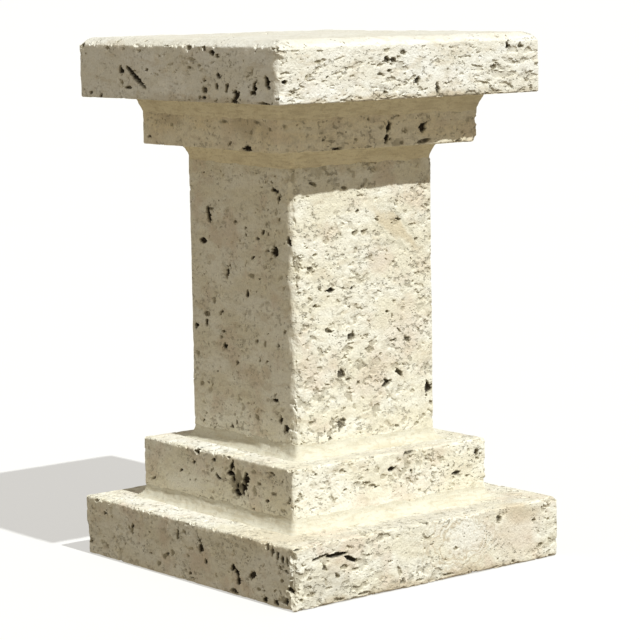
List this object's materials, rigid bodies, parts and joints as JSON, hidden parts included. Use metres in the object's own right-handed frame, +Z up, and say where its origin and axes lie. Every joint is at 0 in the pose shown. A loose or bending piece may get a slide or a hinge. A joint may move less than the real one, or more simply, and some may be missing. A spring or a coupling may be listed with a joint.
{
  "type": "stepped travertine pedestal",
  "caption": "Square stepped pedestal of stacked travertine blocks: base slab, step, plain shaft, cap step and overhanging top slab, with mortar fillets in the inner corners.",
  "frame": {"origin": "middle of the base slab's underside", "axes": "+Z up; the base slab's sides lie along X and Y, and the picture looks at the corner between the -X and -Y faces"},
  "size_m": [0.394, 0.394, 0.609],
  "materials": {
    "travertine": "sawn and weathered travertine, cream to pale tan, open pores, worn arrises, matt",
    "mortar": "smooth cream lime mortar without pores, matt"
  },
  "bodies": {
    "root": {"base_slab": "travertine", "lower_step_foot_fillet": "mortar", "lower_step": "travertine", "shaft_foot_fillet": "mortar", "shaft": "travertine", "shaft_head_fillet": "mortar", "cap_step": "travertine", "cap_step_head_fillet": "mortar", "top_slab": "travertine"}
  },
  "joints": []
}
